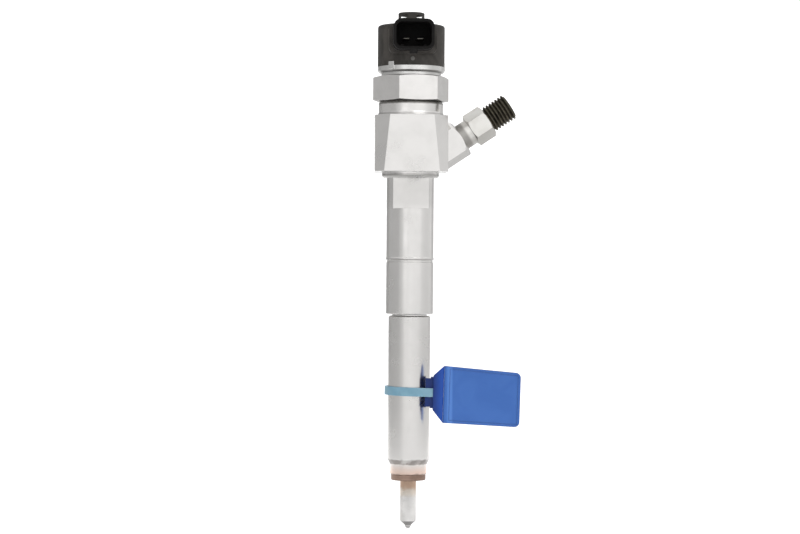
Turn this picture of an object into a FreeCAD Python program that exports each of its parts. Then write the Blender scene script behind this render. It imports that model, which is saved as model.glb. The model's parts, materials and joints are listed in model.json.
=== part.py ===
import FreeCAD, Part
import math
import os

from FreeCAD import Vector

# A common-rail diesel fuel injector, complete with its inner works and the plastic seal tag on its barrel.
# Millimetres. +Z runs up the injector's axis, towards the electrical head. The origin is on that axis at
# the underside of the copper sealing washer, which is the seat in the cylinder head. The plug socket opens
# towards -Y, and the fuel inlet leaves towards +X, sloping up.

TURN = 360.0
THREAD_FLAT = 0.25      # share of a pitch that is flat at a thread's crest

# ---- nozzle and its retaining nut
washer_thickness = 2.5
washer_outer_r = 7.5
washer_inner_r = 3.75
stem_r = 3.5
stem_relief_r = 3.3
stem_end_z = -17.7
tip_end_z = -20.8
seat_bottom_z = -19.2       # where the needle's seat meets the sac
sac_r = 0.42
spray_hole_r = 0.08
spray_hole_count = 7
collar_r = 7.65
collar_bottom_z = 9.2
nozzle_top_z = 28.5
guide_r = 2.0
needle_clearance = 0.015
needle_stem_r = 1.3
needle_head_z = 28.9        # the needle's shoulder stands proud of the nozzle's top face
nozzle_nut_r = 9.1
nozzle_nut_foot_r = 8.0
nozzle_nut_top_z = 70.8
nozzle_thread_r = 8.2

# ---- injector body
shank_r = 10.25
shank_bottom_z = 71.5
ridge_z = 95.0
clamp_flat_z = 117.0        # the ledge that the hold-down clamp presses on
clamp_flat_half = 6.8
head_step_z = 130.2
block_bottom_z = 132.7
block_top_z = 157.0
block_half_x = 15.7
block_half_y = 14.2
neck_r = 14.0
nut_seat_z = 163.2
body_top_z = 169.2
solenoid_thread_r = 13.4
chamber_r = 11.2
chamber_floor_z = 157.4
channel_x = 5.7            # distance of the drilled fuel channels from the axis
channel_r = 0.9
spring_chamber_r = 3.85
spring_chamber_top_z = 61.2

# ---- fuel inlet
inlet_tilt = 33.7           # degrees above the horizontal
inlet_mouth = Vector(21.7, 0, 147.7)    # centre of the boss's end face
boss_half = 8.2
boss_bore_r = 5.95
boss_bore_depth = 14.0
inlet_thread_r = 5.9
inlet_thread_pitch = 1.5
inlet_hex_across = 13.0
inlet_hex_start = 5.2
inlet_hex_end = 14.0
inlet_thread_start = 14.6
inlet_end = 25.2
filter_bore_r = 2.0

# ---- control valve
piston_guide_r = 2.16
piston_r = 2.145
valve_stem_r = 4.5
valve_stem_bottom_z = 130.8
valve_flange_z = 148.2
valve_top_z = 152.0
valve_flange_r = 7.0
ball_r = 0.675
control_roof_z = 147.9
needle_lift = 0.25
clamp_ring_r = 8.5
clamp_ring_top_z = 156.5

# ---- armature
bolt_r = 1.5
bolt_bore_r = 1.52
bolt_top_z = 168.7
bolt_groove_z = 165.3
guide_disc_top_z = 159.9
plate_bottom_z = 163.4
plate_top_z = 165.0
plate_r = 9.2

# ---- solenoid
core_bottom_z = 165.15
core_top_z = 174.7
core_r = 9.5
core_bore_r = 3.1
coil_inner_r = 4.9
coil_outer_r = 7.8
coil_top_z = 172.3
housing_flange_z = 175.4
housing_top_z = 178.0
housing_flange_r = 14.45
solenoid_nut_across = 29.0
solenoid_nut_top_z = 173.9
solenoid_lip_z = 171.9
solenoid_nut_turn = 10.0    # degrees that the nut stopped turned from square to the plug
lug_count = 3
lug_first = -128.0

# ---- electrical head
head_r = 14.45
head_top_z = 195.9
plug_y = -25.0              # the socket's front face
socket_half_x = 8.6
socket_bottom_z = 183.7
socket_top_z = 196.5
socket_wall = 1.1
socket_floor_y = -12.5
socket_corner_r = 3.2
pin_x = 2.95
pin_z = 188.7
pin_tip_y = -18.0
pin_leg_y = -6.0
port_r = 5.65
port_bore_r = 4.0
port_floor_z = 191.4
port_top_z = 201.5

# ---- seal tag
tag_z = 38.4
tag_tilt = 1.5
strap_inner_r = 9.65
strap_thickness = 0.85
strap_half_height = 1.85
tag_y = -10.1
neck_start_x = 9.9
neck_half = 7.4
flag_x = 15.1                # the flag's crease line
flag_end_x = 47.3
flag_top = (11.6, 9.5)       # the flag's upper edge above tag_z, at the crease and at the far end
flag_bottom = (-12.8, -13.7)
flag_thickness = 1.4


# ------------------------------------------------------------------ building blocks

def turned(*outline):
    """A solid of revolution about Z, from a closed outline of (radius, height) points."""
    points = [Vector(r, 0, z) for r, z in outline]
    face = Part.Face(Part.makePolygon(points + points[:1]))
    return face.revolve(Vector(0, 0, 0), Vector(0, 0, 1), TURN)


def rod(radius, low, high, x=0.0, y=0.0):
    """A cylinder along Z between two heights."""
    return Part.makeCylinder(radius, high - low, Vector(x, y, low))


def tube(inner, outer, low, high, chamfer=0.0):
    """A ring about Z, its two outer edges chamfered."""
    c = chamfer
    return turned((inner, low), (outer - c, low), (outer, low + c), (outer, high - c), (outer - c, high),
                  (inner, high))


def slab(x, y, z):
    """A box from three (low, high) pairs."""
    return Part.makeBox(x[1] - x[0], y[1] - y[0], z[1] - z[0], Vector(x[0], y[0], z[0]))


def drill(start, end, radius):
    """A cylinder from one point to another."""
    way = end - start
    return Part.makeCylinder(radius, way.Length, start, way)


def prism(points, low, high):
    """A straight prism along Z over a closed outline of (x, y) points."""
    corners = [Vector(x, y, low) for x, y in points]
    return Part.Face(Part.makePolygon(corners + corners[:1])).extrude(Vector(0, 0, high - low))


def hexagon(across, low, high, face_angle, low_slope, high_slope):
    """A hexagonal bar about Z with one face's normal at face_angle, its ends turned to slopes in degrees."""
    corner_r = across / math.sqrt(3)
    angles = [math.radians(face_angle + 30 + 60 * k) for k in range(6)]
    bar = prism([(corner_r * math.cos(a), corner_r * math.sin(a)) for a in angles], low, high)
    edge, rim = across / 2 - 0.1, corner_r + 0.1
    low_bevel, high_bevel = [(rim - edge) * math.tan(math.radians(a)) for a in (low_slope, high_slope)]
    return bar.common(turned((0, low), (edge, low), (rim, low + low_bevel), (rim, high - high_bevel),
                             (edge, high), (0, high)))


def thread_points(start, end, pitch, major, minor):
    """(radius, height) points of ring-shaped thread ridges from start up to end."""
    points = []
    for k in range(int((end - start) / pitch)):
        z = start + k * pitch
        points += [(minor, z), (minor, z + 0.1 * pitch), (major, z + 0.4 * pitch),
                   (major, z + (0.4 + THREAD_FLAT) * pitch), (minor, z + 0.95 * pitch)]
    return points


def spring(mean_r, wire_r, low, high, turns, ground=True):
    """A compression spring between two heights, its ends ground flat or left as cut wire."""
    pitch = (high - low) / turns
    overrun = wire_r + 0.1 if ground else -wire_r - 0.02
    helix = Part.makeHelix(pitch, high - low + 2 * overrun, mean_r)
    helix.translate(Vector(0, 0, low - overrun))
    section = Part.Wire(Part.makeCircle(wire_r, Vector(mean_r, 0, low - overrun), Vector(0, 1, 0)))
    coil = Part.Wire(helix).makePipeShell([section], True, True)
    if not ground:
        return coil
    reach = mean_r + 2 * wire_r
    return coil.common(slab((-reach, reach), (-reach, reach), (low, high)))


def around(shape, count, first=0.0):
    """Copies of a shape set evenly round the Z axis."""
    copies = []
    for k in range(count):
        copy = shape.copy()
        copy.rotate(Vector(0, 0, 0), Vector(0, 0, 1), first + TURN * k / count)
        copies.append(copy)
    return copies


def rounded_block(half_x, low_z, high_z, front_y, back_y, radius):
    """A block along Y whose section in XZ is a rectangle with round corners."""
    block = slab((-half_x, half_x), (front_y, back_y), (low_z, high_z))
    long_edges = [e for e in block.Edges if abs(e.tangentAt(e.FirstParameter).y) > 0.99]
    return block.makeFillet(radius, long_edges)


inlet_way = Vector(math.cos(math.radians(inlet_tilt)), 0, math.sin(math.radians(inlet_tilt)))


def on_inlet(distance):
    """A point on the inlet's axis, at a distance outward from the boss's end face."""
    return inlet_mouth + inlet_way * distance


def set_on_inlet(shape):
    """Moves a shape built about Z, with z = 0 at the boss's end face, onto the inlet's axis."""
    shape.Placement = FreeCAD.Placement(inlet_mouth, FreeCAD.Rotation(Vector(0, 0, 1), inlet_way))
    return shape


def set_on_tag(shape):
    """Tilts a shape of the seal tag to its lie on the barrel."""
    shape.rotate(Vector(0, 0, tag_z), Vector(0, 1, 0), tag_tilt)
    return shape


# ------------------------------------------------------------------ nozzle end

def sealing_washer():
    bevel = 0.2
    return turned((washer_inner_r, 0), (washer_outer_r - bevel, 0), (washer_outer_r, bevel),
                  (washer_outer_r, washer_thickness - bevel), (washer_outer_r - bevel, washer_thickness),
                  (washer_inner_r, washer_thickness))


def nozzle_body():
    outside = turned(
        (0, tip_end_z), (0.55, tip_end_z), (0.95, tip_end_z + 0.2), (1.2, tip_end_z + 0.6),
        (1.45, tip_end_z + 1.3), (2.2, tip_end_z + 2.0), (3.05, stem_end_z - 0.35), (stem_r, stem_end_z),
        (stem_r, -0.3), (stem_relief_r, -0.1), (stem_relief_r, collar_bottom_z - 0.4),
        (stem_relief_r + 0.4, collar_bottom_z), (collar_r - 0.5, collar_bottom_z),
        (collar_r, collar_bottom_z + 0.5), (collar_r, nozzle_top_z - 0.3), (collar_r - 0.3, nozzle_top_z),
        (0, nozzle_top_z))
    clearance_r = 1.7
    seat_rise = (clearance_r - sac_r) / math.tan(math.radians(30))
    gallery_low, gallery_high = 12.5, 16.5
    gallery_r = 3.0
    inside = turned(
        (0, seat_bottom_z - 0.7), (sac_r, seat_bottom_z - 0.7), (sac_r, seat_bottom_z),
        (clearance_r, seat_bottom_z + seat_rise), (clearance_r, gallery_low),
        (gallery_r, gallery_low + 1.0), (gallery_r, gallery_high - 1.0), (guide_r, gallery_high),
        (guide_r, nozzle_top_z), (0, nozzle_top_z))
    feed = drill(Vector(channel_x + 0.15, 0, nozzle_top_z + 0.5), Vector(2.4, 0, 14.3), channel_r)
    dowels = [rod(1.0, nozzle_top_z - 4.0, nozzle_top_z, y=y) for y in (-5.3, 5.3)]
    hole = drill(Vector(0, 0, seat_bottom_z - 0.25), Vector(2.0, 0, seat_bottom_z - 0.79), spray_hole_r)
    return outside.cut([inside, feed] + dowels + around(hole, spray_hole_count, 12.0))


def nozzle_needle():
    r = guide_r - needle_clearance
    cone_rise = (needle_stem_r - sac_r) / math.tan(math.radians(30))
    gap = 0.015
    cone_top = seat_bottom_z + gap + cone_rise
    cone_tip = seat_bottom_z + gap - 0.18 / math.tan(math.radians(30))
    needle = turned(
        (0, cone_tip - 0.12), (sac_r - 0.18, cone_tip), (needle_stem_r, cone_top), (needle_stem_r, 15.0),
        (r, 16.8), (r, needle_head_z - 0.2), (r - 0.2, needle_head_z), (1.1, needle_head_z),
        (1.1, needle_head_z + 1.5), (1.0, needle_head_z + 1.6), (0, needle_head_z + 1.6))
    grooves = [tube(r - 0.12, r + 1, z, z + 0.35) for z in (19.0, 21.0, 23.0)]
    return needle.cut(grooves)


def needle_spring_seat():
    return turned((1.2, needle_head_z), (3.1, needle_head_z), (3.3, needle_head_z + 0.2),
                  (3.3, needle_head_z + 2.0), (1.85, needle_head_z + 2.0), (1.85, needle_head_z + 3.2),
                  (1.65, needle_head_z + 3.4), (1.2, needle_head_z + 3.4))


def nozzle_spring():
    return spring(2.68, 0.6, needle_head_z + 2.0, spring_chamber_top_z - 1.6, 11)


def nozzle_spring_shim():
    return tube(1.5, 3.3, spring_chamber_top_z - 1.6, spring_chamber_top_z, 0.15)


def nozzle_dowel_pins():
    low, high = nozzle_top_z - 3.9, nozzle_top_z + 3.9
    return Part.makeCompound([turned((0, low), (0.75, low), (1.0, low + 0.25), (1.0, high - 0.25),
                                     (0.75, high), (0, high)).translated(Vector(0, y, 0))
                              for y in (-5.3, 5.3)])


def nozzle_nut():
    foot = washer_thickness
    bore_low = 48.0
    return turned(
        (3.65, foot), (nozzle_nut_foot_r - 0.3, foot), (nozzle_nut_foot_r, foot + 0.3),
        (nozzle_nut_foot_r, 6.8), (nozzle_nut_r - 0.25, 8.6), (nozzle_nut_r, 9.1),
        (nozzle_nut_r, nozzle_nut_top_z - 0.5), (nozzle_nut_r - 0.5, nozzle_nut_top_z),
        (nozzle_thread_r + 0.05, nozzle_nut_top_z), (nozzle_thread_r + 0.05, bore_low),
        (collar_r + 0.05, bore_low - 0.6), (collar_r + 0.05, collar_bottom_z + 0.3),
        (collar_r - 0.45, collar_bottom_z), (3.65, collar_bottom_z))


# ------------------------------------------------------------------ injector body

def corner_cut(sign_x, sign_y):
    """The piece that a draughted cut takes off one upright corner of the head block: wider at the top."""
    leg_low, leg_high = 3.8, 6.3
    over = 1.0
    slope = (leg_high - leg_low) / (block_top_z - block_bottom_z)
    wires = []
    for z in (block_bottom_z - over, block_top_z + over):
        leg = leg_low + slope * (z - block_bottom_z) + over
        x, y = sign_x * (block_half_x + over / 2), sign_y * (block_half_y + over / 2)
        corners = [Vector(x, y, z), Vector(x - sign_x * leg, y, z), Vector(x, y - sign_y * leg, z)]
        wires.append(Part.makePolygon(corners + corners[:1]))
    return Part.makeLoft(wires, True, True)


def head_block():
    """The square head that carries the inlet boss."""
    block = slab((-block_half_x, block_half_x), (-block_half_y, block_half_y), (block_bottom_z, block_top_z))
    block = block.cut([corner_cut(sx, sy) for sx in (-1, 1) for sy in (-1, 1)])
    bevel = 2.6
    h, k = boss_half, boss_half - bevel
    outline = [(h, -k), (h, k), (k, h), (-k, h), (-h - 0.4, k), (-h - 0.4, -k), (-k, -h), (k, -h)]
    end_bevel = 0.7
    boss = prism(outline, -18.0, 0)
    rim = turned((0, -18.0), (h * 1.3, -18.0), (h * 1.3, -3.0), (h + 0.9, -end_bevel), (h - 0.2, 0), (0, 0))
    boss = set_on_inlet(boss.common(rim))
    reach = 40.0
    boss = boss.common(slab((0, reach), (-reach, reach), (block_bottom_z, block_top_z)))
    return block.fuse(boss)


def injector_body():
    thread = thread_points(50.0, 69.2, 1.0, nozzle_thread_r, nozzle_thread_r - 0.55)
    top_thread = thread_points(nut_seat_z + 0.8, body_top_z - 0.4, 1.0, solenoid_thread_r,
                               solenoid_thread_r - 0.5)
    barrel = turned(
        (0, nozzle_top_z), (7.2, nozzle_top_z), (7.5, nozzle_top_z + 0.3), (7.5, 50.0), *thread,
        (7.5, 69.3), (7.5, shank_bottom_z), (shank_r - 0.3, shank_bottom_z), (shank_r, shank_bottom_z + 0.3),
        (shank_r, ridge_z - 1.2), (shank_r - 0.3, ridge_z - 1.0), (shank_r - 0.3, ridge_z - 0.2),
        (shank_r + 0.18, ridge_z), (shank_r + 0.18, ridge_z + 0.8), (shank_r, ridge_z + 1.0),
        (shank_r, head_step_z), (11.6, head_step_z), (12.4, head_step_z + 0.8), (12.4, block_bottom_z),
        (12.4, block_top_z), (neck_r + 0.5, block_top_z), (neck_r, block_top_z + 1.5),
        (neck_r, nut_seat_z - 1.0), (neck_r - 0.6, nut_seat_z - 0.1),
        (solenoid_thread_r - 0.5, nut_seat_z - 0.1),
        *top_thread, (solenoid_thread_r - 0.5, body_top_z), (0, body_top_z))
    solid = barrel.fuse(head_block()).removeSplitter()

    flats = [slab((-20, 20), pair, (clamp_flat_z, head_step_z))
             for pair in ((clamp_flat_half, 20), (-20, -clamp_flat_half))]
    bores = turned(
        (0, nozzle_top_z), (spring_chamber_r, nozzle_top_z), (spring_chamber_r, spring_chamber_top_z),
        (2.6, spring_chamber_top_z), (2.6, 130.6), (4.9, 130.6), (4.9, valve_flange_z),
        (valve_flange_r + 0.05, valve_flange_z), (valve_flange_r + 0.05, valve_top_z),
        (clamp_ring_r + 0.05, valve_top_z), (clamp_ring_r + 0.05, chamber_floor_z),
        (chamber_r, chamber_floor_z), (chamber_r, body_top_z - 0.6), (chamber_r + 0.5, body_top_z),
        (0, body_top_z))
    boss_bore = drill(on_inlet(0.5), on_inlet(-boss_bore_depth), boss_bore_r)
    inlet_drill = drill(on_inlet(-boss_bore_depth + 1), on_inlet(-19.6), 1.1)
    channel_top = (channel_x - inlet_mouth.x) * math.tan(math.radians(inlet_tilt)) + inlet_mouth.z
    feed = rod(channel_r, nozzle_top_z, channel_top, x=channel_x)
    leak_low = rod(0.7, spring_chamber_top_z - 8, 126, x=-channel_x)
    leak_z = spring_chamber_top_z - 7.5
    leak_cross = drill(Vector(-channel_x, 0, leak_z), Vector(-2, 0, leak_z), 0.6)
    leak_high = drill(Vector(-channel_x, 0, 125.5), Vector(-10.0, 0, 158.4), 0.6)
    dowels = [rod(1.0, nozzle_top_z, nozzle_top_z + 4.0, y=y) for y in (-5.3, 5.3)]
    return solid.cut(flats + [bores, boss_bore, inlet_drill, feed, leak_low, leak_cross, leak_high] + dowels)


# ------------------------------------------------------------------ fuel inlet

def inlet_union():
    start = -boss_bore_depth + 0.8
    thread = thread_points(start + 0.8, -1.6, 1.0, inlet_thread_r - 0.2, inlet_thread_r - 0.6)
    outer_thread = thread_points(inlet_thread_start, inlet_end - 0.05, inlet_thread_pitch, inlet_thread_r,
                                 inlet_thread_r - 0.9)
    shank = turned(
        (0, start), (inlet_thread_r - 0.9, start), (inlet_thread_r - 0.6, start + 0.5), *thread,
        (inlet_thread_r - 0.6, -1.5), (inlet_thread_r - 0.2, -1.2),
        (inlet_thread_r - 0.2, inlet_hex_start + 0.5),
        (0, inlet_hex_start + 0.5))
    hexagonal = hexagon(inlet_hex_across, inlet_hex_start, inlet_hex_end, -90.0, 30, 30)
    nose = turned(
        (0, inlet_hex_end - 0.5), (inlet_thread_r - 0.95, inlet_hex_end - 0.5),
        (inlet_thread_r - 0.95, inlet_thread_start - 0.2), *outer_thread,
        (inlet_thread_r - 0.9, inlet_end), (0, inlet_end))
    solid = shank.fuse([hexagonal, nose]).removeSplitter()
    cone_depth = 3.0
    bore = turned(
        (0, start), (1.2, start), (1.2, -9.5), (filter_bore_r, -9.5), (filter_bore_r, inlet_end - cone_depth),
        (filter_bore_r + cone_depth * math.tan(math.radians(30)), inlet_end), (0, inlet_end))
    return set_on_inlet(solid.cut(bore))


def edge_filter():
    """A rod filter: fuel creeps over its edges, from grooves open at one end to grooves open at the other."""
    low, high = -9.5, 17.5
    body = turned((0, low), (1.6, low), (1.95, low + 0.35), (1.95, high - 0.35), (1.6, high), (0, high))
    groove = slab((1.45, 3.0), (-0.35, 0.35), (low - 1, high - 2.0))
    other = slab((1.45, 3.0), (-0.35, 0.35), (low + 2.0, high + 1))
    return set_on_inlet(body.cut(around(groove, 4) + around(other, 4, 45.0)))


def inlet_seal_washer():
    return set_on_inlet(tube(1.3, 5.2, -boss_bore_depth, -boss_bore_depth + 0.8, 0.1))


# ------------------------------------------------------------------ control valve

def control_piston():
    top = control_roof_z - needle_lift
    neck_top = 64.0
    return turned(
        (0, needle_head_z + 1.6), (0.95, needle_head_z + 1.6), (1.1, needle_head_z + 1.75),
        (1.1, neck_top - 1.0),
        (2.3, neck_top), (2.4, neck_top + 0.3), (2.4, 128.0), (piston_r, 129.0), (piston_r, 134.8),
        (piston_r - 0.1, 134.9), (piston_r - 0.1, 135.3), (piston_r, 135.4), (piston_r, 139.0),
        (piston_r - 0.1, 139.1), (piston_r - 0.1, 139.5), (piston_r, 139.6), (piston_r, top - 0.3),
        (piston_r - 0.3, top), (0, top))


def valve_piece():
    outside = turned(
        (0, valve_stem_bottom_z), (3.1, valve_stem_bottom_z), (3.2, valve_stem_bottom_z + 0.1),
        (3.2, 133.2), (valve_stem_r, 133.2), (valve_stem_r, valve_flange_z), (valve_flange_r, valve_flange_z),
        (valve_flange_r, valve_top_z - 1.0), (3.4, valve_top_z - 1.0), (3.0, valve_top_z), (0, valve_top_z))
    ring = tube(3.0, valve_flange_r, valve_top_z - 1.1, valve_top_z)
    recess = tube(2.9, 3.9, valve_top_z - 0.7, valve_top_z + 0.1)
    throat_r = 0.45
    seat_z = valve_top_z - 0.7
    seat_r = throat_r + 0.7 * math.tan(math.radians(60))
    inside = turned(
        (0, valve_stem_bottom_z), (piston_guide_r + 0.2, valve_stem_bottom_z),
        (piston_guide_r, valve_stem_bottom_z + 0.3), (piston_guide_r, control_roof_z), (0.15, control_roof_z),
        (0.15, 149.5), (throat_r, 149.8), (throat_r, seat_z), (seat_r, valve_top_z), (0, valve_top_z))
    throttle = drill(Vector(1.5, 0, 147.3), Vector(4.8, 0, 147.3), 0.14)
    entry = drill(Vector(3.1, 0, 147.3), Vector(4.8, 0, 147.3), 0.5)
    return outside.fuse(ring).cut([recess, inside, throttle, entry])


def valve_seal_ring():
    return tube(3.25, 4.85, 130.6, 133.1, 0.2)


def valve_clamp_ring():
    ring = tube(2.3, clamp_ring_r, valve_top_z, clamp_ring_top_z, 0.4)
    slot = slab((4.9, 9.6), (-1.0, 1.0), (clamp_ring_top_z - 1.6, clamp_ring_top_z + 1))
    relief = tube(2.0, 4.4, valve_top_z - 1, valve_top_z + 1.2)
    return ring.cut([relief] + around(slot, 4, 45.0))


def ball_centre_z():
    """Height of the valve ball's centre when it rests on its 120 degree seat, just clear of it."""
    apex = valve_top_z - 0.7 - 0.45 / math.tan(math.radians(60))
    return apex + ball_r / math.sin(math.radians(60)) + 0.004


def valve_ball():
    return Part.makeSphere(ball_r, Vector(0, 0, ball_centre_z()))


def ball_guide():
    low, high = valve_top_z + 0.1, 154.0
    cup = turned((0, low), (1.15, low), (1.35, low + 0.3), (1.35, high - 0.2), (1.15, high), (0, high))
    return cup.cut(Part.makeSphere(ball_r + 0.005, Vector(0, 0, ball_centre_z())))


# ------------------------------------------------------------------ armature

def armature_guide():
    disc = turned(
        (bolt_bore_r, 155.2), (2.0, 155.2), (2.1, 155.3), (2.1, chamber_floor_z),
        (chamber_r - 0.4, chamber_floor_z),
        (chamber_r - 0.1, chamber_floor_z + 0.3), (chamber_r - 0.1, guide_disc_top_z - 0.3),
        (chamber_r - 0.4, guide_disc_top_z), (2.1, guide_disc_top_z), (2.1, 162.7), (2.0, 162.8),
        (bolt_bore_r, 162.8))
    port = rod(1.1, chamber_floor_z - 1, guide_disc_top_z + 1, x=6.0)
    return disc.cut(around(port, 6, 30.0))


def armature_bolt():
    low = 154.0
    return turned(
        (0, low), (1.3, low), (bolt_r, low + 0.2), (bolt_r, bolt_groove_z - 0.02),
        (1.0, bolt_groove_z - 0.02),
        (1.0, bolt_groove_z + 0.78), (bolt_r, bolt_groove_z + 0.78), (bolt_r, bolt_top_z - 1.2),
        (bolt_r, bolt_top_z - 0.6), (1.05, bolt_top_z - 0.6), (1.05, bolt_top_z + 0.9),
        (0.85, bolt_top_z + 1.1),
        (0, bolt_top_z + 1.1))


def armature_plate():
    disc = turned(
        (bolt_bore_r, plate_bottom_z), (plate_r - 0.25, plate_bottom_z), (plate_r, plate_bottom_z + 0.25),
        (plate_r, plate_top_z - 0.25), (plate_r - 0.25, plate_top_z), (2.4, plate_top_z),
        (2.4, bolt_groove_z - 0.02), (bolt_bore_r, bolt_groove_z - 0.02))
    slot = slab((4.4, 10.0), (-0.45, 0.45), (plate_bottom_z - 1, plate_top_z + 1))
    return disc.cut(around(slot, 6))


def armature_stop_washer():
    """The open washer that holds the plate on the bolt."""
    low, high = bolt_groove_z, bolt_groove_z + 0.74
    ring = tube(1.03, 2.3, low, high, 0.1)
    return ring.cut(slab((0, 3.0), (-1.03, 1.03), (low - 1, high + 1)))


def overtravel_spring():
    return spring(2.6, 0.28, guide_disc_top_z, plate_bottom_z, 3, ground=False)


def valve_spring():
    return spring(1.75, 0.36, bolt_top_z - 0.6, 176.6, 6, ground=False)


# ------------------------------------------------------------------ solenoid

def pin_holes(low, high):
    return [rod(1.0, low, high, x=x, y=pin_leg_y) for x in (-pin_x, pin_x)]


def magnet_core():
    pot = tube(core_bore_r, core_r, core_bottom_z, core_top_z, 0.3)
    groove = tube(coil_inner_r, coil_outer_r, core_bottom_z - 1, coil_top_z)
    return pot.cut([groove] + pin_holes(coil_top_z - 1, core_top_z + 1))


def coil_bobbin():
    low, high = core_bottom_z + 0.15, coil_top_z - 0.05
    inner, outer = coil_inner_r + 0.03, coil_outer_r - 0.03
    wall = 0.4
    return turned((inner, low), (outer, low), (outer, low + wall), (inner + wall, low + wall),
                  (inner + wall, high - wall), (outer, high - wall), (outer, high), (inner, high))


def coil_winding():
    """The wound copper as one ring, its surface ridged by the turns of wire."""
    low, high = core_bottom_z + 0.6, coil_top_z - 0.5
    wire = 0.42
    inner, outer = coil_inner_r + 0.45, coil_outer_r - 0.25
    points = [(inner, low)]
    for k in range(int((high - low) / wire)):
        z = low + k * wire
        points += [(outer - 0.08, z + 0.01), (outer, z + wire / 2)]
    return turned(*points, (outer - 0.08, high), (inner, high))


def magnet_housing():
    web_low = core_top_z
    sleeve = turned(
        (core_r + 0.05, 164.8), (chamber_r - 0.5, 164.8), (chamber_r - 0.1, 165.2), (chamber_r - 0.1, 166.3),
        (10.3, 166.3), (10.3, 168.1), (chamber_r - 0.1, 168.1), (chamber_r - 0.1, body_top_z + 0.4),
        (12.6, body_top_z + 0.4), (12.6, 170.5), (11.9, 170.5), (11.9, solenoid_lip_z),
        (12.6, solenoid_lip_z), (12.6, 174.0), (12.9, 174.2), (12.9, housing_flange_z),
        (housing_flange_r - 0.7, housing_flange_z), (housing_flange_r, housing_flange_z + 0.7),
        (housing_flange_r, housing_top_z), (3.0, housing_top_z), (3.0, web_low), (core_r + 0.05, web_low))
    lug = slab((housing_flange_r - 1.0, housing_flange_r + 0.35), (-1.4, 1.4),
               (housing_flange_z + 1.1, 179.6))
    solid = sleeve.fuse(around(lug, lug_count, lug_first)).removeSplitter()
    return solid.cut(pin_holes(web_low - 1, housing_top_z + 1))


def housing_o_ring():
    section = (chamber_r - 10.3) / 2
    return Part.makeTorus(10.3 + section, section, Vector(0, 0, 167.2))


def armature_lift_shim():
    return tube(chamber_r, 12.6, body_top_z, body_top_z + 0.4)


def nut_retaining_ring():
    ring = tube(11.9, 13.2, 170.5, solenoid_lip_z, 0.25)
    gap = slab((8, 15), (-1.6, 1.6), (170, 173))
    gap.rotate(Vector(0, 0, 0), Vector(0, 0, 1), 100)
    return ring.cut(gap)


def solenoid_nut():
    bar = hexagon(solenoid_nut_across, nut_seat_z, solenoid_nut_top_z, -90.0 + solenoid_nut_turn, 8, 15)
    bore = rod(solenoid_thread_r + 0.05, nut_seat_z - 1, solenoid_lip_z)
    lip_hole = rod(12.7, solenoid_lip_z - 1, solenoid_nut_top_z + 1)
    return bar.cut([bore, lip_hole])


def valve_spring_shim():
    return tube(1.0, 2.6, 176.6, 177.2, 0.1)


def spring_stop_sleeve():
    return tube(1.2, 2.85, 177.2, 182.0, 0.3)


# ------------------------------------------------------------------ electrical head

def terminal_pin(x):
    blade = slab((x - 1.4, x + 1.4), (pin_tip_y, pin_leg_y + 0.4), (pin_z - 0.4, pin_z + 0.4))
    tip_edges = [e for e in blade.Edges
                 if all(abs(v.Y - pin_tip_y) < 1e-6 for v in e.Vertexes)]
    blade = blade.makeChamfer(0.3, tip_edges)
    leg = slab((x - 0.6, x + 0.6), (pin_leg_y - 0.4, pin_leg_y + 0.4), (coil_top_z, pin_z + 0.4))
    return blade.fuse(leg).removeSplitter()


def terminal_pins():
    return Part.makeCompound([terminal_pin(x) for x in (-pin_x, pin_x)])


def connector_head():
    barrel = turned(
        (0, housing_top_z), (head_r, housing_top_z), (head_r, head_top_z - 0.9),
        (head_r - 0.27, head_top_z - 0.27), (head_r - 0.9, head_top_z), (0, head_top_z))
    base = rounded_block(10.2, socket_bottom_z - 0.9, head_top_z - 0.6, -16.4, -4.0, 2.4)
    shroud = rounded_block(socket_half_x, socket_bottom_z, socket_top_z, plug_y, -6.0, socket_corner_r)
    lip = rounded_block(socket_half_x + 0.35, socket_bottom_z - 0.35, socket_top_z, -18.8, -16.0,
                        socket_corner_r + 0.4)
    gate_mark = Part.makeCylinder(0.75, 1.5, Vector(0, -head_r - 0.35, 180.7), Vector(0, 1, 0))
    port = tube(port_bore_r, port_r, head_top_z - 1, port_top_z, 0.3)
    port_bridge = slab((-3.2, 3.2), (-9.0, -5.0), (head_top_z - 1, socket_top_z))
    latch = prism([(plug_y + 1.2, 0), (plug_y + 5.4, 0), (plug_y + 5.4, 1.5), (plug_y + 4.7, 1.5)], -1.6, 1.6)
    hanging = FreeCAD.Rotation(Vector(0, 1, 0), Vector(0, 0, -1), Vector(-1, 0, 0), "XYZ")
    latch.Placement = FreeCAD.Placement(Vector(0, 0, socket_bottom_z + 0.05), hanging)
    solid = barrel.fuse([base, shroud, lip, port, port_bridge, latch, gate_mark]).removeSplitter()

    cavity = rounded_block(socket_half_x - socket_wall, socket_bottom_z + socket_wall,
                           socket_top_z - socket_wall, plug_y - 1, socket_floor_y, socket_corner_r - 0.7)
    centre = turned((0, housing_top_z), (2.9, housing_top_z), (2.9, 182.0), (1.6, 182.0),
                    (1.6, port_floor_z - 1.2),
                    (port_bore_r, port_floor_z), (port_bore_r, port_top_z + 1), (0, port_top_z + 1))
    windows = [slab(pair, (-8.5, 8.5), (port_top_z - 2.5, port_top_z - 1.2))
               for pair in ((-4.6, -2.0), (2.0, 4.6))]
    lugs = around(slab((housing_flange_r - 1.0, head_r + 1), (-1.4, 1.4), (housing_top_z - 1, 179.6)),
                  lug_count, lug_first)
    solid = solid.cut([cavity, centre, terminal_pins()] + windows + lugs)
    keys = [slab((x - 0.5, x + 0.5), (plug_y + 2.0, socket_floor_y), (socket_bottom_z + socket_wall - 0.1,
                                                                     socket_bottom_z + socket_wall + 1.0))
            for x in (-4.9, 4.9)]
    return solid.fuse(keys)


# ------------------------------------------------------------------ seal tag

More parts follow.
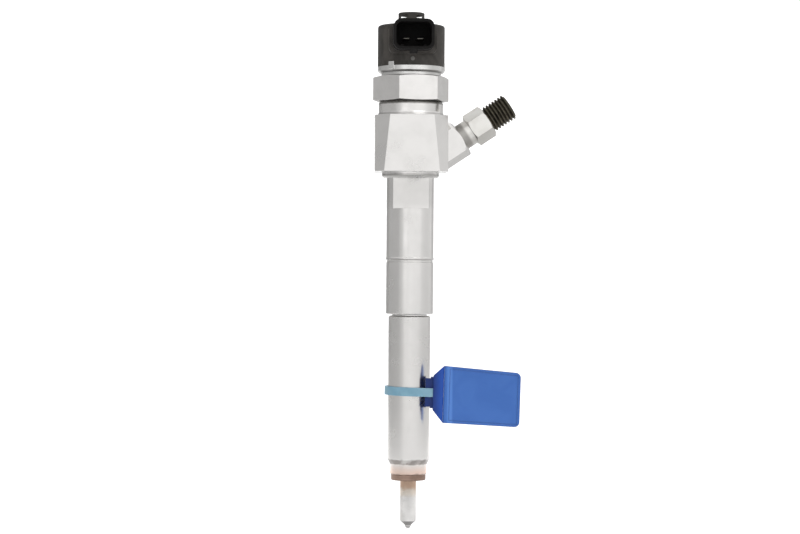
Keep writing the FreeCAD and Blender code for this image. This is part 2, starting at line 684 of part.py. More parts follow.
def seal_strap():
    """The strap: tangent to its loop at the front, round the back, and down into the lock housing."""
    inner, outer = strap_inner_r, strap_inner_r + strap_thickness
    low, high = tag_z - strap_half_height, tag_z + strap_half_height
    loop = tube(inner, outer, low, high).cut(slab((0, 20), (-20, 0), (low - 1, high + 1)))
    front = slab((0, neck_start_x), (-outer, -inner), (low, high))
    tail = slab((inner, outer), (-8.5, 0), (low, high))
    return set_on_tag(loop.fuse([front, tail]).removeSplitter())


def seal_lock_housing():
    """The lock housing behind the strap, with the fan-shaped neck that leads to the flag."""
    block = slab((8.9, 12.9), (-9.6, -5.2), (tag_z - 6.7, tag_z + 6.7))
    upright = [e for e in block.Edges
               if abs(e.tangentAt(e.FirstParameter).z) > 0.99 and e.Vertexes[0].Y > -6]
    block = block.makeFillet(0.8, upright)
    rest = slab((6.6, 9.4), (-9.6, -8.4), (tag_z - 6.1, tag_z + 6.1))
    front, back = tag_y - 0.75, -9.3
    crease = flag_x - flag_thickness / 2 - 0.05
    fan = [(neck_start_x, front), (crease - 0.5, tag_y - flag_thickness / 2), (crease + 0.3, tag_y),
           (crease - 0.5, tag_y + flag_thickness / 2), (neck_start_x, back)]
    neck = prism(fan, tag_z + flag_bottom[0], tag_z + flag_top[0])
    wedge = 30.0
    trims = []
    for side, edge in ((1, flag_top[0]), (-1, -flag_bottom[0])):
        slope = (edge - neck_half) / (crease - neck_start_x)
        corners = [(neck_start_x, neck_half), (neck_start_x + wedge, neck_half + slope * wedge),
                   (neck_start_x, neck_half + slope * wedge)]
        points = [Vector(x, -20, tag_z + side * z) for x, z in corners]
        trims.append(Part.Face(Part.makePolygon(points + points[:1])).extrude(Vector(0, 40, 0)))
    hollow = rod(flag_thickness / 2 + 0.08, tag_z - 20, tag_z + 20, x=flag_x, y=tag_y)
    housing = block.fuse([rest, neck.cut(trims + [hollow])]).removeSplitter()
    slot = slab((strap_inner_r - 0.05, strap_inner_r + strap_thickness + 0.05), (-8.6, -4.0),
                (tag_z - strap_half_height - 0.05, tag_z + strap_half_height + 0.05))
    pocket = slab((strap_inner_r + strap_thickness, 12.1), (-8.4, -6.0), (tag_z - 1.5, tag_z + 1.5))
    return set_on_tag(housing.cut([slot, pocket]))


def seal_lock_insert():
    """The toothed jaw in the housing that the strap can't be drawn back past."""
    low, high = tag_z - 1.45, tag_z + 1.45
    left, right = strap_inner_r + strap_thickness + 0.08, 12.05
    outline = [(right, -8.35), (right, -6.05), (left + 0.35, -6.05)]
    for k in range(3):
        y = -6.4 - 0.65 * k
        outline += [(left, y), (left + 0.35, y - 0.25)]
    return set_on_tag(prism(outline + [(left + 0.35, -8.35)], low, high))


def flag_sheet(margin, front, back):
    """A sheet in the flag's outline less a margin, between two distances from its middle plane."""
    near, far = flag_x + 1.6 * margin, flag_end_x - margin
    points = [Vector(x, tag_y + front, tag_z + z) for x, z in (
        (near, flag_bottom[0] + margin), (far, flag_bottom[1] + margin), (far, flag_top[1] - margin),
        (near, flag_top[0] - margin))]
    return Part.Face(Part.makePolygon(points + points[:1])).extrude(Vector(0, back - front, 0))


def seal_flag():
    """The flag: a flat plate with a raised border, on a crease that lets it bend."""
    half = flag_thickness / 2
    plate = flag_sheet(0, -half, half)
    outer_edges = [e for e in plate.Edges
                   if abs(e.tangentAt(e.FirstParameter).y) > 0.99 and e.Vertexes[0].X > flag_end_x - 1]
    plate = plate.makeFillet(2.2, outer_edges)
    root = rod(half, tag_z + flag_bottom[0], tag_z + flag_top[0], x=flag_x, y=tag_y)
    depth = 0.2
    fields = [flag_sheet(1.1, *pair) for pair in ((-half - 1, -half + depth), (half - depth, half + 1))]
    return set_on_tag(plate.fuse(root).removeSplitter().cut(fields))


# ------------------------------------------------------------------ the assembly

SUBPARTS = (
    sealing_washer, nozzle_body, nozzle_needle, needle_spring_seat, nozzle_spring, nozzle_spring_shim,
    nozzle_dowel_pins, nozzle_nut, injector_body, inlet_union, edge_filter, inlet_seal_washer, control_piston,
    valve_piece, valve_seal_ring, valve_clamp_ring, valve_ball, ball_guide, armature_guide, armature_bolt,
    armature_plate, armature_stop_washer, overtravel_spring, valve_spring, magnet_core, coil_bobbin,
    coil_winding, magnet_housing, housing_o_ring, armature_lift_shim, nut_retaining_ring, solenoid_nut,
    valve_spring_shim, spring_stop_sleeve, terminal_pins, connector_head, seal_strap, seal_lock_housing,
    seal_lock_insert, seal_flag,
)


def main():
    os.makedirs("parts", exist_ok=True)
    for build in SUBPARTS:
        shape = build()
        shape.exportStep(f"parts/{build.__name__}.step")
        print(f"{build.__name__}: {len(shape.Solids)} solid(s), {shape.Volume:.2f} mm3, "
              f"valid {shape.isValid()}")


main()
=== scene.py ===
import json
import math

import bpy
from mathutils import Matrix, Vector


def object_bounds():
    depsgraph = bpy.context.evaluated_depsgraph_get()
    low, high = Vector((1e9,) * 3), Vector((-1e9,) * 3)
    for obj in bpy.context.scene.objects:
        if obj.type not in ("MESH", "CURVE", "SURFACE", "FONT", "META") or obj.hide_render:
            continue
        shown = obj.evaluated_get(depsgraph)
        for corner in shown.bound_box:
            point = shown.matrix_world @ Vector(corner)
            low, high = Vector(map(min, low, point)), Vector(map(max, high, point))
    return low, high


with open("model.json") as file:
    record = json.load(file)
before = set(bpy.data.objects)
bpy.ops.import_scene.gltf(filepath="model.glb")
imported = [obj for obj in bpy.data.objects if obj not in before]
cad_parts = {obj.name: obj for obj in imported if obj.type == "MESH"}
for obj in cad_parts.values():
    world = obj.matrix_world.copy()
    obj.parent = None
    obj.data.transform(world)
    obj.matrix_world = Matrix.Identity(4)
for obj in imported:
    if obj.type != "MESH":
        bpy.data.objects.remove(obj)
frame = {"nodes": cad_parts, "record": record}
cad_low, cad_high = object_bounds()
nodes = frame["nodes"]
MM = 0.001

# ---------------------------------------------------------------- camera
# The camera stands level with the injector's middle, a little to the left of straight on.
LENS, SENSOR, VIEW_WIDTH = 100.0, 36.0, 0.3456
NEAR, FAR = 0.01, 50.0
TARGET = Vector((-4.2, 0.0, 91.8)) * MM
YAW, ROLL = math.radians(2.5), math.radians(0.41)
distance = LENS * VIEW_WIDTH / SENSOR
forward = Vector((math.sin(YAW), math.cos(YAW), 0.0))
camera = bpy.data.objects.new("camera", bpy.data.cameras.new("camera"))
bpy.context.scene.collection.objects.link(camera)
camera.data.lens = LENS
camera.data.sensor_width = SENSOR
camera.data.clip_start, camera.data.clip_end = NEAR, FAR
camera.matrix_world = (Matrix.Translation(TARGET - forward * distance)
                       @ forward.to_track_quat("-Z", "Y").to_matrix().to_4x4()
                       @ Matrix.Rotation(ROLL, 4, "Z"))
bpy.context.scene.camera = camera

# ---------------------------------------------------------------- stage and light
bpy.context.scene.view_settings.view_transform = "Standard"

# The dome's grey by direction, from the far left (0) to the far right (1), and the greys above and below.
DOME_SIDES = [(0.0, 0.52), (0.15, 0.53), (0.26, 1.06), (0.86, 1.08), (0.95, 0.84), (1.0, 0.78)]
DOME_TOP = (1.0, 1.0, 1.0)
DOME_BELOW = (0.46, 0.46, 0.46)
LIGHT_AIM = Vector((0.0, 0.0, 0.09))
STAGE_GAP = 0.0004              # between the nozzle's tip and the floor

# The sheet: the front edge of its floor, the two lines that divide the floor, where the floor ends and the
# bend starts, the bend's radius and steps, the height of its wall and half its width.
SHEET_FRONT, SHEET_LINES, SHEET_BACK = -4.5, (-0.3, 0.5), 2.5
SHEET_BEND, SHEET_STEPS = 1.0, 24
SHEET_HEIGHT, SHEET_HALF = 4.0, 4.5
# The white strip behind the object: its half width beside the object, how fast that grows towards the back
# and from where, the width over which its sides fade, how far it reaches in front of the object, and the
# length over which it fades there.
STRIP_HALF, STRIP_SPREAD, STRIP_SPREAD_FROM = 0.30, 0.21, -0.1
STRIP_SIDE_FADE, STRIP_FRONT, STRIP_FRONT_FADE = 0.12, 0.15, 0.10
STRIP_WHITE = (0.93, 0.93, 0.93)
STRIP_GLOW = 0.5
# The sheet's painted shade outside the strip, from the far left (0) to the far right (1), as (place, grey).
SHEET_SIDE_SHADE = [(0.15, 0.46), (0.42, 0.86), (0.62, 0.86), (0.85, 0.66)]


class Graph:
    """A small helper that builds a shader's node tree."""

    def __init__(self, tree):
        self.tree = tree
        tree.nodes.clear()

    def node(self, kind, **settings):
        made = self.tree.nodes.new(kind)
        for key, value in settings.items():
            setattr(made, key, value)
        return made

    def link(self, source, target):
        self.tree.links.new(source, target)

    def math(self, operation, *values, clamp=False):
        """One calculation with one to three values, each a number or an output."""
        made = self.node("ShaderNodeMath", operation=operation, use_clamp=clamp)
        for socket, value in zip(made.inputs, values):
            if isinstance(value, (int, float)):
                socket.default_value = value
            else:
                self.link(value, socket)
        return made.outputs[0]

    def ramp(self, value, stops):
        """An eased ramp through (place, grey or colour) stops."""
        made = self.node("ShaderNodeValToRGB")
        made.color_ramp.interpolation = "EASE"
        elements = made.color_ramp.elements
        while len(elements) < len(stops):
            elements.new(0.5)
        for element, (at, colour) in zip(elements, stops):
            element.position = at
            element.color = (*colour, 1) if isinstance(colour, tuple) else (colour, colour, colour, 1)
        self.link(value, made.inputs[0])
        return made.outputs[0]

    def mix(self, factor, a, b, blend="MIX"):
        made = self.node("ShaderNodeMix", data_type="RGBA", blend_type=blend)
        for socket, value in ((made.inputs[0], factor), (made.inputs[6], a), (made.inputs[7], b)):
            if isinstance(value, (int, float)):
                socket.default_value = value
            elif isinstance(value, tuple):
                socket.default_value = (*value, 1)
            else:
                self.link(value, socket)
        return made.outputs[2]

    def noise(self, vector, scale, detail=3.0, rough=0.5):
        made = self.node("ShaderNodeTexNoise")
        made.inputs["Scale"].default_value = scale
        made.inputs["Detail"].default_value = detail
        made.inputs["Roughness"].default_value = rough
        self.link(vector, made.inputs["Vector"])
        return made.outputs[0]

    def split(self, vector):
        """The x, y and z of a vector."""
        made = self.node("ShaderNodeSeparateXYZ")
        self.link(vector, made.inputs[0])
        return made.outputs

    def share(self, value, start, length):
        """How far a value is past a start, as a share of a length, kept between 0 and 1."""
        return self.math("DIVIDE", self.math("SUBTRACT", value, start), length, clamp=True)


def world_light():
    """A soft dome: white above, bright in front and behind, dim to the right, darkest left and below."""
    world = bpy.data.worlds.new("studio")
    world.use_nodes = True
    bpy.context.scene.world = world
    g = Graph(world.node_tree)
    x, _, z = g.split(g.node("ShaderNodeTexCoord").outputs["Generated"])
    side = g.ramp(g.math("MULTIPLY_ADD", x, 0.5, 0.5), DOME_SIDES)
    top = g.ramp(z, [(0.45, 0.0), (0.98, 1.0)])
    below = g.ramp(g.math("MULTIPLY", z, -1.0), [(0.15, 0.0), (0.75, 1.0)])
    tone = g.mix(below, g.mix(top, side, DOME_TOP), DOME_BELOW)
    back = g.node("ShaderNodeBackground")
    g.link(tone, back.inputs[0])
    back.inputs[1].default_value = 1.0
    g.link(back.outputs[0], g.node("ShaderNodeOutputWorld").inputs[0])


def area_light(name, place, size, power):
    """A rectangular light at a place, aimed at the middle of the injector."""
    lamp = bpy.data.lights.new(name, "AREA")
    lamp.shape = "RECTANGLE"
    lamp.size, lamp.size_y = size
    lamp.energy = power
    made = bpy.data.objects.new(name, lamp)
    bpy.context.scene.collection.objects.link(made)
    made.location = place
    made.rotation_euler = (LIGHT_AIM - Vector(place)).to_track_quat("-Z", "Y").to_euler()


def sweep(low):
    """One pale sheet: the floor, curving up into the wall, whitest in the strip behind the object and painted
    greyer towards the sides as shade.
    """
    line = [(y, 0.0) for y in (SHEET_FRONT, *SHEET_LINES, SHEET_BACK)]
    for k in range(1, SHEET_STEPS + 1):
        angle = math.radians(90 * k / SHEET_STEPS)
        line.append((SHEET_BACK + SHEET_BEND * math.sin(angle), SHEET_BEND - SHEET_BEND * math.cos(angle)))
    line.append((SHEET_BACK + SHEET_BEND, SHEET_HEIGHT))
    points = [(side * SHEET_HALF, y, low + z) for y, z in line for side in (-1, 1)]
    faces = [(2 * k, 2 * k + 1, 2 * k + 3, 2 * k + 2) for k in range(len(line) - 1)]
    mesh = bpy.data.meshes.new("studio_sweep")
    mesh.from_pydata(points, [], faces)
    mesh.polygons.foreach_set("use_smooth", [True] * len(faces))
    made = bpy.data.objects.new("studio_sweep", mesh)
    bpy.context.scene.collection.objects.link(made)

    material, g, shader, place = surface("studio_white")
    x, y, _ = g.split(place)
    reach = g.math("MULTIPLY", g.math("MAXIMUM", y, STRIP_SPREAD_FROM), STRIP_SPREAD)
    reach = g.math("SUBTRACT", g.math("ADD", reach, STRIP_HALF), g.math("ABSOLUTE", x))
    white = g.math("MULTIPLY", g.math("DIVIDE", reach, STRIP_SIDE_FADE, clamp=True),
                   g.math("DIVIDE", g.math("ADD", y, STRIP_FRONT), STRIP_FRONT_FADE, clamp=True))
    side_shade = g.ramp(g.math("MULTIPLY_ADD", x, 0.5, 0.5), SHEET_SIDE_SHADE)
    g.link(g.mix(white, side_shade, STRIP_WHITE), shader.inputs["Base Color"])
    shader.inputs["Roughness"].default_value = 0.9
    shader.inputs["Emission Color"].default_value = (1, 1, 1, 1)
    g.link(g.math("MULTIPLY", white, STRIP_GLOW), shader.inputs["Emission Strength"])
    mesh.materials.append(material)


# ---------------------------------------------------------------- materials
# Lengths are in metres. Heights are above the underside of the sealing washer, where the CAD has its origin.
INLET_TILT = math.radians(33.7)
INLET_MOUTH = Vector((21.7, 0.0, 147.7)) * MM

PLATING = (0.79, 0.775, 0.76)   # the bright colour of the plated steel outside
# The dark of the body's painted shade.
STEP_SHADE_COLOUR = (0.10, 0.095, 0.085)

# Painted shade across the axis, in steps, joints and grooves, as (height, half width, darkness).
NUT_STEP_SHADE = ((0.0080, 0.0014, 0.72),     # the taper above the foot
            (0.0709, 0.0006, 0.55),     # the joint with the body
            (0.0026, 0.0005, 0.60))     # the foot's lower edge, on the washer
BODY_STEP_SHADE = ((0.1626, 0.0012, 0.78),   # the neck, just under the solenoid nut
              (0.1575, 0.0007, 0.35),   # the shoulder on top of the block
              (0.1312, 0.0009, 0.45),   # the step under the block
              (0.1237, 0.0085, 0.13),   # the clamp flats
              (0.0950, 0.0004, 0.40))   # the ridge round the barrel
NUT_HEAT_TOP = 0.0085           # the heat tint fades out here

# The room inside the plug socket that is painted near black as shade: its middle height and half sizes, which
# reach just into the walls, and its back, just behind the socket's floor.
SOCKET_Z, SOCKET_HALF_WIDE, SOCKET_HALF_HIGH = 0.1901, 0.0078, 0.0055
SOCKET_BACK_Y = -0.0122
COLLAR_Y, COLLAR_FADE = -0.0165, 0.004      # the painted shade on the plug collar deepens forward of here
MOULD_DOT, MOULD_DOT_R = (0.0, -0.0148, 0.1807), 0.0010

OXIDE_START, OXIDE_FADE = 0.0138, 0.0008    # along the inlet: the dark finish starts by the hexagon's end
INLET_JOINT_SHADE = (0.0012, 0.0024, 0.6)         # painted shade like the bands above, along the inlet, at the boss
CREST_R, CREST_DEPTH = 0.0050, 0.0009       # the wear on the inlet thread

STEM_TINT_LOW, STEM_TINT_SPAN = -0.0065, 0.0055     # the stem's tint starts here and is full this much higher
CREASE_HIGHLIGHT_X, CREASE_HIGHLIGHT_HALF = 0.0170, 0.0016              # the flag's painted highlight line, beside its crease
LOCK_SHADE_FADE_X, LOCK_SHADE_FADE_SPAN = 0.0088, 0.0055        # the lock's painted shade fades out along this


def surface(name):
    """A new material with its graph, its shader and the object's own coordinates."""
    material = bpy.data.materials.new(name)
    material.use_nodes = True
    g = Graph(material.node_tree)
    shader = g.node("ShaderNodeBsdfPrincipled")
    g.link(shader.outputs[0], g.node("ShaderNodeOutputMaterial").inputs[0])
    place = g.node("ShaderNodeTexCoord").outputs["Object"]
    return material, g, shader, place


def source_of(shader, name):
    """The output that feeds one of the shader's sockets."""
    return shader.inputs[name].links[0].from_socket


def along_axis(g, place, tilted=False):
    """(radius, distance) about the injector's axis, or about the fuel inlet's, as two outputs."""
    if tilted:
        turn = g.node("ShaderNodeMapping", vector_type="TEXTURE")
        turn.inputs["Location"].default_value = INLET_MOUTH
        turn.inputs["Rotation"].default_value = (0.0, math.radians(90) - INLET_TILT, 0.0)
        g.link(place, turn.inputs[0])
        place = turn.outputs[0]
    x, y, z = g.split(place)
    radius = g.math("SQRT", g.math("ADD", g.math("MULTIPLY", x, x), g.math("MULTIPLY", y, y)))
    return radius, z


def edge_mask(g, radius, strength=4.0):
    """(mask, rounded normal). The mask is white along the corners of a piece and black elsewhere."""
    rounded = g.node("ShaderNodeBevel", samples=4)
    rounded.inputs["Radius"].default_value = radius
    true = g.node("ShaderNodeNewGeometry").outputs["Normal"]
    dot = g.node("ShaderNodeVectorMath", operation="DOT_PRODUCT")
    g.link(rounded.outputs[0], dot.inputs[0])
    g.link(true, dot.inputs[1])
    mask = g.math("MULTIPLY", g.math("SUBTRACT", 1.0, dot.outputs["Value"]), strength, clamp=True)
    return mask, rounded.outputs[0]


def bump(g, shader, height, depth, normal):
    made = g.node("ShaderNodeBump")
    made.inputs["Strength"].default_value = 1.0
    made.inputs["Distance"].default_value = depth
    g.link(height, made.inputs["Height"])
    g.link(normal, made.inputs["Normal"])
    g.link(made.outputs[0], shader.inputs["Normal"])


def turned_metal(name, colour, dull, roughness, lines=5200.0, depth=4e-6, tilted=False, spots=0.12,
                 worn=None):
    """Turned metal: tool rings round its axis, faint tarnish, worn corners, and painted shade on undersides.
    """
    material, g, shader, place = surface(name)
    radius, z = along_axis(g, place, tilted)
    rings = g.node("ShaderNodeCombineXYZ")
    g.link(radius, rings.inputs[0])
    g.link(z, rings.inputs[2])
    fine = g.noise(rings.outputs[0], lines, 2.0, 0.6)
    broad = g.noise(rings.outputs[0], lines / 14, 2.0, 0.5)
    cloud = g.noise(place, 95.0, 4.0, 0.6)
    grain = g.noise(place, 9000.0, 1.0, 0.5)
    edges, rounded = edge_mask(g, 0.00025)
    tarnish = g.ramp(cloud, [(0.36, 0.0), (0.72, 1.0)])
    base = g.mix(g.math("MULTIPLY", tarnish, 0.55), colour, dull)
    base = g.mix(g.math("MULTIPLY", g.ramp(fine, [(0.35, 0.0), (0.75, 1.0)]), spots), base, dull)
    if worn is None:
        worn = tuple(min(1.0, c * 1.12) for c in colour)
    base = g.mix(edges, base, worn)
    # Painted shade: faces that look downwards are darkened.
    facing = g.split(g.node("ShaderNodeNewGeometry").outputs["Normal"])[2]
    underside_shade = g.ramp(g.math("MULTIPLY", facing, -1.0), [(0.22, 0.0), (0.62, 0.75)])
    base = g.mix(underside_shade, base, tuple(0.34 * c for c in dull))
    g.link(base, shader.inputs["Base Color"])
    shader.inputs["Metallic"].default_value = 1.0
    rough = g.math("ADD", g.math("MULTIPLY", tarnish, 0.10), g.math("MULTIPLY", broad, 0.08))
    g.link(g.math("ADD", rough, roughness - 0.06, clamp=True), shader.inputs["Roughness"])
    height = g.math("ADD", g.math("MULTIPLY", fine, 0.7), g.math("MULTIPLY", grain, 0.3))
    bump(g, shader, height, depth, rounded)
    return material, g, shader, place


def cast_metal(name, colour, dull, roughness, grain_size, depth):
    """Metal with a fine pitted skin, as sintered, forged or phosphated pieces have."""
    material, g, shader, place = surface(name)
    pits = g.noise(place, 1.0 / grain_size, 4.0, 0.65)
    cloud = g.noise(place, 140.0, 3.0, 0.6)
    edges, rounded = edge_mask(g, 0.0002)
    base = g.mix(g.ramp(cloud, [(0.32, 0.0), (0.72, 1.0)]), colour, dull)
    base = g.mix(g.math("MULTIPLY", edges, 0.6), base, tuple(min(1.0, c * 1.8 + 0.05) for c in colour))
    g.link(base, shader.inputs["Base Color"])
    shader.inputs["Metallic"].default_value = 1.0
    g.link(g.math("MULTIPLY_ADD", pits, 0.2, roughness - 0.1), shader.inputs["Roughness"])
    bump(g, shader, pits, depth, rounded)
    return material, g, shader, place


def moulded_plastic(name, colour, light, roughness, grain_size, depth, soft=0.0, dust=0.35):
    """Moulded plastic: a spark-eroded grain, faint flow marks and a little dust, and a painted highlight
    along the corners.
    """
    material, g, shader, place = surface(name)
    grain = g.noise(place, 1.0 / grain_size, 3.0, 0.6)
    flow = g.noise(place, 70.0, 3.0, 0.55)
    flow.node.inputs["Distortion"].default_value = 1.2
    edges, rounded = edge_mask(g, 0.0003, 3.0)
    speck = g.ramp(g.noise(place, 2600.0, 2.0, 0.5), [(0.62, 0.0), (0.78, 1.0)])
    base = g.mix(g.math("MULTIPLY", g.ramp(flow, [(0.3, 0.0), (0.75, 1.0)]), 0.5), colour, light)
    base = g.mix(g.math("MULTIPLY", speck, dust), base, light)
    # Painted highlight: the corners are made paler.
    base = g.mix(g.math("MULTIPLY", edges, 0.7), base, light)
    g.link(base, shader.inputs["Base Color"])
    shader.inputs["Specular IOR Level"].default_value = 0.45
    g.link(g.math("MULTIPLY_ADD", flow, 0.16, roughness - 0.08), shader.inputs["Roughness"])
    if soft:
        shader.inputs["Subsurface Weight"].default_value = soft
        shader.inputs["Subsurface Radius"].default_value = (0.6, 0.8, 1.0)
        shader.inputs["Subsurface Scale"].default_value = 0.0012
    bump(g, shader, grain, depth, rounded)
    return material, g, shader, place


def band(g, height, level, half, depth):
    """A soft band across the axis at one height: depth at its middle, nothing past its half width."""
    off = g.math("DIVIDE", g.math("ABSOLUTE", g.math("SUBTRACT", height, level)), half, clamp=True)
    return g.math("MULTIPLY", g.ramp(off, [(0.45, 1.0), (1.0, 0.0)]), depth)


def bands(g, height, marks):
    """Several bands at once, the darkest where they meet."""
    shade = 0.0
    for level, half, depth in marks:
        shade = g.math("MAXIMUM", band(g, height, level, half, depth), shade)
    return shade


def wavering_height(g, place, scale, swing):
    """The height, made to waver by up to half the swing each way so that the edges of marks aren't ruled."""
    drift = g.math("MULTIPLY", g.noise(place, scale, 3.0), swing)
    return g.math("ADD", g.split(place)[2], g.math("SUBTRACT", drift, swing / 2))


def nut_metal():
    """The nozzle nut: bright plating, painted shade in its steps, and the foot tinted brown by heat."""
    material, g, shader, place = turned_metal("nozzle_nut_steel", PLATING, (0.66, 0.65, 0.63), 0.21,
                                              lines=4200.0, depth=1.0e-6, spots=0.06)
    height = wavering_height(g, place, 420.0, 0.0012)
    heat = g.ramp(g.math("DIVIDE", height, NUT_HEAT_TOP, clamp=True), [(0.25, 1.0), (1.0, 0.0)])
    base = g.mix(g.math("MULTIPLY", heat, 0.85), source_of(shader, "Base Color"), (0.74, 0.53, 0.43))
    patches = g.ramp(g.noise(place, 260.0, 3.0, 0.6), [(0.32, 0.45), (0.58, 1.0)])
    # Painted shade in the steps and joints, broken into patches.
    step_shade = g.math("MULTIPLY", bands(g, height, NUT_STEP_SHADE), patches)
    g.link(g.mix(step_shade, base, (0.10, 0.085, 0.075)), shader.inputs["Base Color"])
    return material


def body_metal():
    """The body: plated steel, with painted shade under the nut, under the block, on the clamp flats and at
    the steps.
    """
    material, g, shader, place = turned_metal("body_steel", PLATING, (0.70, 0.69, 0.67), 0.21,
                                              lines=4200.0, depth=1.0e-6, spots=0.05)
    # Painted shade under the nut, under the block, in the steps and on the clamp flats.
    shade = bands(g, wavering_height(g, place, 700.0, 0.0004), BODY_STEP_SHADE)
    g.link(g.mix(shade, source_of(shader, "Base Color"), STEP_SHADE_COLOUR), shader.inputs["Base Color"])
    return material


def connector_plastic():
    """The head's black moulding: dusty on the barrel, painted deep black as shade in and around the socket.
    """
    material, g, shader, place = moulded_plastic("connector_plastic", (0.028, 0.025, 0.022),
                                                 (0.105, 0.096, 0.086), 0.50, 0.00022, 1.2e-5)
    x, y, z = g.split(place)
    # Painted shade: the collar's front and the socket's inside are made near black and rougher.
    collar_shade = g.math("DIVIDE", g.math("SUBTRACT", COLLAR_Y, y), COLLAR_FADE, clamp=True)
    collar_shade = g.ramp(collar_shade, [(0.0, 0.0), (1.0, 1.0)])
    inside = g.math("LESS_THAN", y, SOCKET_BACK_Y)
    inside = g.math("MULTIPLY", inside, g.math("LESS_THAN", g.math("ABSOLUTE", x), SOCKET_HALF_WIDE))
    rise = g.math("ABSOLUTE", g.math("SUBTRACT", z, SOCKET_Z))
    inside = g.math("MULTIPLY", inside, g.math("LESS_THAN", rise, SOCKET_HALF_HIGH))
    socket_shade = g.math("MAXIMUM", collar_shade, inside)
    apart = g.node("ShaderNodeVectorMath", operation="DISTANCE")
    g.link(place, apart.inputs[0])
    apart.inputs[1].default_value = MOULD_DOT
    dot = g.math("LESS_THAN", apart.outputs["Value"], MOULD_DOT_R)
    base = g.mix(dot, source_of(shader, "Base Color"), (0.17, 0.165, 0.155))
    g.link(g.mix(socket_shade, base, (0.0045, 0.004, 0.0038)), shader.inputs["Base Color"])
    shader.inputs["Specular IOR Level"].default_value = 0.25
    rough = g.math("ADD", source_of(shader, "Roughness"), g.math("MULTIPLY", socket_shade, 0.35), clamp=True)
    g.link(rough, shader.inputs["Roughness"])
    return material


def inlet_metal():
    """The union: zinc-plated steel, with its threaded end left dark by phosphating."""
    material, g, shader, place = turned_metal("inlet_union", (0.80, 0.79, 0.76), (0.60, 0.58, 0.54), 0.34,
                                              tilted=True)
    radius, along = along_axis(g, place, tilted=True)
    drift = g.math("MULTIPLY", g.noise(place, 900.0, 3.0), 0.0006)
    dark = g.share(g.math("ADD", along, drift), OXIDE_START, OXIDE_FADE)
    dark = g.ramp(dark, [(0.2, 0.0), (0.8, 1.0)])
    rust = g.ramp(g.noise(place, 420.0, 4.0, 0.6), [(0.35, 0.0), (0.7, 1.0)])
    oxide = g.mix(rust, (0.030, 0.026, 0.020), (0.105, 0.092, 0.066))
    crest = g.ramp(g.share(radius, CREST_R, CREST_DEPTH), [(0.7, 0.0), (1.0, 1.0)])
    oxide = g.mix(g.math("MULTIPLY", crest, 0.35), oxide, (0.20, 0.18, 0.14))
    # Painted shade where the inlet meets the boss.
    base = g.mix(band(g, along, *INLET_JOINT_SHADE), source_of(shader, "Base Color"), (0.13, 0.12, 0.11))
    g.link(g.mix(dark, base, oxide), shader.inputs["Base Color"])
    rough = g.math("ADD", source_of(shader, "Roughness"), g.math("MULTIPLY", dark, 0.22), clamp=True)
    g.link(rough, shader.inputs["Roughness"])
    return material


def washer_metal():
    """Annealed copper, browned by heat, brighter where it has been handled."""
    return turned_metal("washer_copper", (0.36, 0.25, 0.20), (0.12, 0.08, 0.06), 0.42, lines=3800.0,
                        depth=7e-6, spots=0.35, worn=(0.60, 0.42, 0.34))[0]


def nozzle_metal():
    """Ground steel, straw and brown where combustion has heated the stem near the washer."""
    material, g, shader, place = turned_metal("nozzle_steel", (0.58, 0.57, 0.56), (0.34, 0.33, 0.32), 0.20,
                                              lines=7000.0)
    drift = g.math("MULTIPLY", g.noise(place, 500.0, 3.0), 0.003)
    near = g.share(g.math("ADD", g.split(place)[2], drift), STEM_TINT_LOW, STEM_TINT_SPAN)
    tint = g.ramp(near, [(0.0, (1.0, 1.0, 1.0)), (0.55, (0.97, 0.88, 0.78)), (1.0, (0.80, 0.58, 0.44))])
    g.link(g.mix(1.0, source_of(shader, "Base Color"), tint, "MULTIPLY"), shader.inputs["Base Color"])
    return material


def strap_plastic():
    """The strap's pale teal, soft enough to let some light in."""
    return moulded_plastic("strap_teal", (0.17, 0.33, 0.43), (0.28, 0.45, 0.55), 0.34, 0.0004, 4e-6,
                           soft=0.35, dust=0.1)[0]


def lock_plastic():
    """The lock's blue: painted darkest as shade on the block, lighter along the fan towards the flag."""
    material, g, shader, place = moulded_plastic("lock_blue", (0.003, 0.016, 0.110), (0.010, 0.045, 0.230),
                                                 0.36, 0.0005, 5e-6, soft=0.1, dust=0.1)
    # Painted shade: the block is darkest, and the colour lightens along the fan.
    out_of_shade = g.ramp(g.share(g.split(place)[0], LOCK_SHADE_FADE_X, LOCK_SHADE_FADE_SPAN), [(0.0, 0.0), (1.0, 0.85)])
    base = g.mix(out_of_shade, source_of(shader, "Base Color"), (0.014, 0.078, 0.400))
    g.link(base, shader.inputs["Base Color"])
    shader.inputs["Specular IOR Level"].default_value = 0.3
    return material


def flag_plastic():
    """The flag's blue: glossy, deeper along its raised border, with a painted highlight along a line by the
    crease.
    """
    material, g, shader, place = moulded_plastic("flag_blue", (0.031, 0.122, 0.415), (0.048, 0.155, 0.480),
                                                 0.34, 0.0005, 5e-6, soft=0.12, dust=0.15)
    off = g.math("ABSOLUTE", g.math("SUBTRACT", g.split(place)[0], CREASE_HIGHLIGHT_X))
    # Painted highlight: a paler line beside the crease.
    line = g.ramp(g.math("DIVIDE", off, CREASE_HIGHLIGHT_HALF, clamp=True), [(0.35, 1.0), (1.0, 0.0)])
    base = g.mix(g.math("MULTIPLY", line, 0.8), source_of(shader, "Base Color"), (0.085, 0.225, 0.600))
    border = g.math("MULTIPLY", edge_mask(g, 0.0008, 5.0)[0], 0.8)
    g.link(g.mix(border, base, (0.010, 0.042, 0.190)), shader.inputs["Base Color"])
    return material


world_light()
area_light("key", (0.55, -0.9, 0.75), (0.8, 0.8), 1.6)
area_light("fill", (-0.7, -1.0, 0.35), (0.9, 1.2), 0.5)
sweep(cad_low.z - STAGE_GAP)

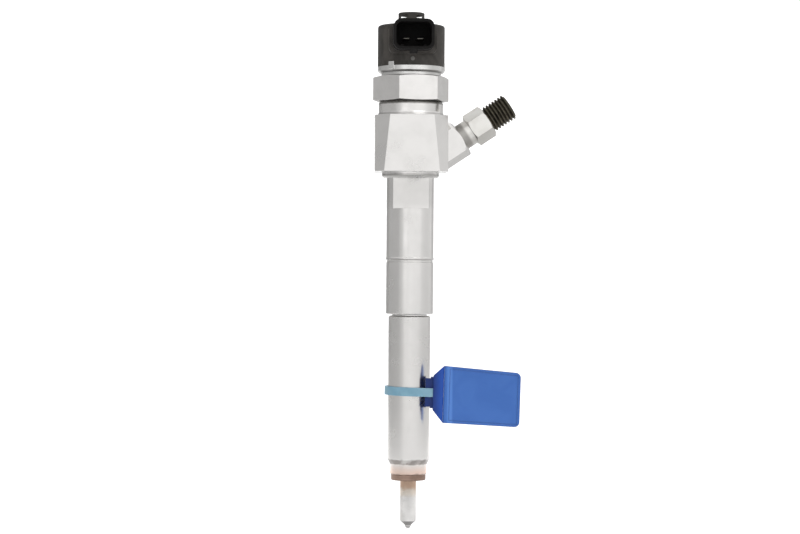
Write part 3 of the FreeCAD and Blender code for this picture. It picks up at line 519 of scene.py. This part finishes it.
# Each plain slot as (its kind, the material's name, two colours, the roughness, the rest by name).
plain = {
    "plated_steel": (turned_metal, "plated_steel", (0.78, 0.765, 0.75), (0.64, 0.63, 0.61), 0.36,
                     {"lines": 4200.0}),
    "bright_steel": (turned_metal, "bright_steel", (0.74, 0.735, 0.72), (0.52, 0.51, 0.50), 0.28, {}),
    "hardened_steel": (turned_metal, "hardened_steel", (0.58, 0.575, 0.57), (0.36, 0.35, 0.34), 0.18,
                       {"lines": 9000.0, "depth": 2e-6}),
    "spring_steel": (turned_metal, "spring_steel", (0.42, 0.42, 0.44), (0.20, 0.19, 0.18), 0.32,
                     {"lines": 2500.0}),
    "dark_steel": (cast_metal, "dark_steel", (0.10, 0.095, 0.085), (0.045, 0.04, 0.035), 0.5,
                   {"grain_size": 0.00012, "depth": 6e-6}),
    "soft_iron": (cast_metal, "sintered_iron", (0.26, 0.26, 0.27), (0.13, 0.12, 0.12), 0.52,
                  {"grain_size": 0.00018, "depth": 9e-6}),
    "coil_copper": (turned_metal, "coil_copper", (0.58, 0.24, 0.10), (0.34, 0.12, 0.05), 0.26,
                    {"lines": 1800.0}),
    "tin": (turned_metal, "tinned_brass", (0.30, 0.29, 0.26), (0.16, 0.15, 0.13), 0.30, {"lines": 2500.0}),
    "black_plastic": (moulded_plastic, "black_plastic", (0.024, 0.021, 0.019), (0.085, 0.078, 0.070), 0.50,
                      {"grain_size": 0.00022, "depth": 1.2e-5}),
    "bobbin_plastic": (moulded_plastic, "bobbin_plastic", (0.62, 0.57, 0.44), (0.74, 0.70, 0.58), 0.45,
                       {"grain_size": 0.0003, "depth": 6e-6}),
    "seal_ring": (moulded_plastic, "seal_ring_plastic", (0.20, 0.11, 0.06), (0.30, 0.19, 0.12), 0.4,
                  {"grain_size": 0.0003, "depth": 4e-6}),
    "rubber": (moulded_plastic, "o_ring_rubber", (0.016, 0.016, 0.016), (0.045, 0.045, 0.045), 0.55,
               {"grain_size": 0.0002, "depth": 5e-6}),
}
by_slot = {slot: kind(name, colour, second, roughness, **rest)[0]
           for slot, (kind, name, colour, second, roughness, rest) in plain.items()}
by_slot.update({
    "copper": washer_metal(),
    "blue_plastic": flag_plastic(),
    "dark_blue_plastic": lock_plastic(),
    "clear_teal_plastic": strap_plastic(),
    "zinc_steel": inlet_metal(),
})
# The pieces whose material has painted shade or heat tint at places of their own.
own = {
    "nozzle_body": nozzle_metal(),
    "injector_body": body_metal(),
    "nozzle_nut": nut_metal(),
    "connector_head": connector_plastic(),
}

for part in frame["record"]["subparts"]:
    material = own.get(part["node"], by_slot[part["material_slot"]])
    for holder in nodes[part["node"]].material_slots:
        holder.material = material
